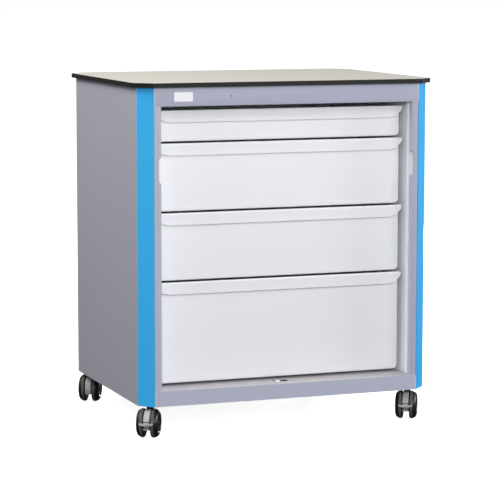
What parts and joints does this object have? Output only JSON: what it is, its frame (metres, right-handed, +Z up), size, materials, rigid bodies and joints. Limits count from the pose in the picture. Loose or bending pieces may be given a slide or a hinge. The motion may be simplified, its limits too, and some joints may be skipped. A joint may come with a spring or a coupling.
{
  "type": "ward drawer cabinet on castors",
  "caption": "Ward cabinet with moulded trays on slides, a retracted tambour front, blue corner posts, a laminate worktop and braked twin-wheel castors.",
  "frame": {"origin": "on the floor, under the middle of the cabinet", "axes": "+Z up; the drawers open towards -Y; +X is to the right when facing the drawers"},
  "size_m": [0.7, 0.5428, 0.772],
  "materials": {
    "silver_grey_paint": "satin powder coat, fine orange peel",
    "liner_paint": "satin powder coat",
    "blue_paint": "satin powder coat",
    "compact_laminate": "matt pearl laminate with a black core edge",
    "white_moulded_plastic": "fine satin moulding",
    "grey_guide_plastic": "matt moulding",
    "black_plated_steel": "black zinc plate",
    "zinc_plated_steel": "bright zinc plate",
    "dark_grey_tyre": "soft tread",
    "castor_grey_plastic": "moulded nylon",
    "dark_anodised_bar": "dark anodised",
    "shutter_slat_plastic": "extruded slats",
    "white_stud_plastic": "smooth moulding"
  },
  "bodies": {
    "cabinet": {"worktop": "compact_laminate", "side_panel_left": "silver_grey_paint", "side_panel_right": "silver_grey_paint", "back_panel": "silver_grey_paint", "base_pan": "silver_grey_paint", "fascia_rail": "silver_grey_paint", "stile_left": "silver_grey_paint", "stile_right": "silver_grey_paint", "corner_post_front_left": "blue_paint", "corner_post_front_right": "blue_paint", "corner_post_rear_left": "blue_paint", "corner_post_rear_right": "blue_paint", "inner_liner_left": "liner_paint", "inner_liner_right": "liner_paint", "shutter_guide_left": "grey_guide_plastic", "shutter_guide_right": "grey_guide_plastic", "shutter_curtain_parked": "shutter_slat_plastic", "strike_cup": "dark_anodised_bar", "strike_stud": "white_stud_plastic", "label_plate": "white_stud_plastic", "slide_channel_top_shallow_left": "zinc_plated_steel", "slide_channel_top_shallow_right": "zinc_plated_steel", "slide_channel_upper_medium_left": "zinc_plated_steel", "slide_channel_upper_medium_right": "zinc_plated_steel", "slide_channel_lower_medium_left": "zinc_plated_steel", "slide_channel_lower_medium_right": "zinc_plated_steel", "slide_channel_bottom_deep_left": "zinc_plated_steel", "slide_channel_bottom_deep_right": "zinc_plated_steel", "castor_stem_front_left": "black_plated_steel", "castor_stem_front_right": "black_plated_steel", "castor_stem_rear_left": "black_plated_steel", "castor_stem_rear_right": "black_plated_steel"},
    "top_shallow_drawer": {"drawer_top_shallow": "white_moulded_plastic", "slide_rail_top_shallow_left": "zinc_plated_steel", "slide_rail_top_shallow_right": "zinc_plated_steel"},
    "upper_medium_drawer": {"drawer_upper_medium": "white_moulded_plastic", "slide_rail_upper_medium_left": "zinc_plated_steel", "slide_rail_upper_medium_right": "zinc_plated_steel"},
    "lower_medium_drawer": {"drawer_lower_medium": "white_moulded_plastic", "slide_rail_lower_medium_left": "zinc_plated_steel", "slide_rail_lower_medium_right": "zinc_plated_steel"},
    "bottom_deep_drawer": {"drawer_bottom_deep": "white_moulded_plastic", "slide_rail_bottom_deep_left": "zinc_plated_steel", "slide_rail_bottom_deep_right": "zinc_plated_steel"},
    "shutter": {"shutter_bar": "dark_anodised_bar", "shutter_curtain": "shutter_slat_plastic"},
    "castor_front_left": {"castor_housing_front_left": "castor_grey_plastic"},
    "wheel_front_left_left": {"castor_wheel_front_left_left": "dark_grey_tyre"},
    "wheel_front_left_right": {"castor_wheel_front_left_right": "dark_grey_tyre"},
    "pedal_front_left": {"brake_pedal_front_left": "castor_grey_plastic"},
    "castor_front_right": {"castor_housing_front_right": "castor_grey_plastic"},
    "wheel_front_right_left": {"castor_wheel_front_right_left": "dark_grey_tyre"},
    "wheel_front_right_right": {"castor_wheel_front_right_right": "dark_grey_tyre"},
    "pedal_front_right": {"brake_pedal_front_right": "castor_grey_plastic"},
    "castor_rear_left": {"castor_housing_rear_left": "castor_grey_plastic"},
    "wheel_rear_left_left": {"castor_wheel_rear_left_left": "dark_grey_tyre"},
    "wheel_rear_left_right": {"castor_wheel_rear_left_right": "dark_grey_tyre"},
    "castor_rear_right": {"castor_housing_rear_right": "castor_grey_plastic"},
    "wheel_rear_right_left": {"castor_wheel_rear_right_left": "dark_grey_tyre"},
    "wheel_rear_right_right": {"castor_wheel_rear_right_right": "dark_grey_tyre"}
  },
  "joints": [
    {"name": "top_shallow_drawer_slide", "type": "slide", "parent": "cabinet", "child": "top_shallow_drawer", "axis": [0, -1, 0], "range_m": [0, 0.28]},
    {"name": "upper_medium_drawer_slide", "type": "slide", "parent": "cabinet", "child": "upper_medium_drawer", "axis": [0, -1, 0], "range_m": [0, 0.28]},
    {"name": "lower_medium_drawer_slide", "type": "slide", "parent": "cabinet", "child": "lower_medium_drawer", "axis": [0, -1, 0], "range_m": [0, 0.28]},
    {"name": "bottom_deep_drawer_slide", "type": "slide", "parent": "cabinet", "child": "bottom_deep_drawer", "axis": [0, -1, 0], "range_m": [0, 0.28]},
    {"name": "shutter_slide", "type": "slide", "parent": "cabinet", "child": "shutter", "axis": [0, 0, 1], "range_m": [-0.613, 0], "deforming": ["shutter_curtain"]},
    {"name": "castor_swivel_front_left", "type": "hinge", "parent": "cabinet", "child": "castor_front_left", "pos_m": [-0.3075, -0.218, 0.06], "axis": [0, 0, 1], "continuous": true},
    {"name": "wheel_spin_front_left_left", "type": "hinge", "parent": "castor_front_left", "child": "wheel_front_left_left", "pos_m": [-0.32985, -0.22603, 0.03175], "axis": [0.8704, -0.4924, 0], "continuous": true},
    {"name": "wheel_spin_front_left_right", "type": "hinge", "parent": "castor_front_left", "child": "wheel_front_left_right", "pos_m": [-0.30287, -0.2413, 0.03175], "axis": [0.8704, -0.4924, 0], "continuous": true},
    {"name": "brake_pedal_hinge_front_left", "type": "hinge", "parent": "castor_front_left", "child": "pedal_front_left", "pos_m": [-0.32769, -0.25368, 0.03475], "axis": [0.8704, -0.4924, 0], "range_deg": [0, 15]},
    {"name": "castor_swivel_front_right", "type": "hinge", "parent": "cabinet", "child": "castor_front_right", "pos_m": [0.3075, -0.218, 0.06], "axis": [0, 0, 1], "continuous": true},
    {"name": "wheel_spin_front_right_left", "type": "hinge", "parent": "castor_front_right", "child": "wheel_front_right_left", "pos_m": [0.28522, -0.22623, 0.03175], "axis": [0.8746, -0.4848, 0], "continuous": true},
    {"name": "wheel_spin_front_right_right", "type": "hinge", "parent": "castor_front_right", "child": "wheel_front_right_right", "pos_m": [0.31233, -0.24126, 0.03175], "axis": [0.8746, -0.4848, 0], "continuous": true},
    {"name": "brake_pedal_hinge_front_right", "type": "hinge", "parent": "castor_front_right", "child": "pedal_front_right", "pos_m": [0.28762, -0.25386, 0.03475], "axis": [0.8746, -0.4848, 0], "range_deg": [0, 15]},
    {"name": "castor_swivel_rear_left", "type": "hinge", "parent": "cabinet", "child": "castor_rear_left", "pos_m": [-0.3075, 0.228, 0.06], "axis": [0, 0, 1], "continuous": true},
    {"name": "wheel_spin_rear_left_left", "type": "hinge", "parent": "castor_rear_left", "child": "wheel_rear_left_left", "pos_m": [-0.32971, 0.21958, 0.03175], "axis": [0.8788, -0.4772, 0], "continuous": true},
    {"name": "wheel_spin_rear_left_right", "type": "hinge", "parent": "castor_rear_left", "child": "wheel_rear_left_right", "pos_m": [-0.30247, 0.20478, 0.03175], "axis": [0.8788, -0.4772, 0], "continuous": true},
    {"name": "castor_swivel_rear_right", "type": "hinge", "parent": "cabinet", "child": "castor_rear_right", "pos_m": [0.3075, 0.228, 0.06], "axis": [0, 0, 1], "continuous": true},
    {"name": "wheel_spin_rear_right_left", "type": "hinge", "parent": "castor_rear_right", "child": "wheel_rear_right_left", "pos_m": [0.28522, 0.21977, 0.03175], "axis": [0.8746, -0.4848, 0], "continuous": true},
    {"name": "wheel_spin_rear_right_right", "type": "hinge", "parent": "castor_rear_right", "child": "wheel_rear_right_right", "pos_m": [0.31233, 0.20474, 0.03175], "axis": [0.8746, -0.4848, 0], "continuous": true}
  ]
}
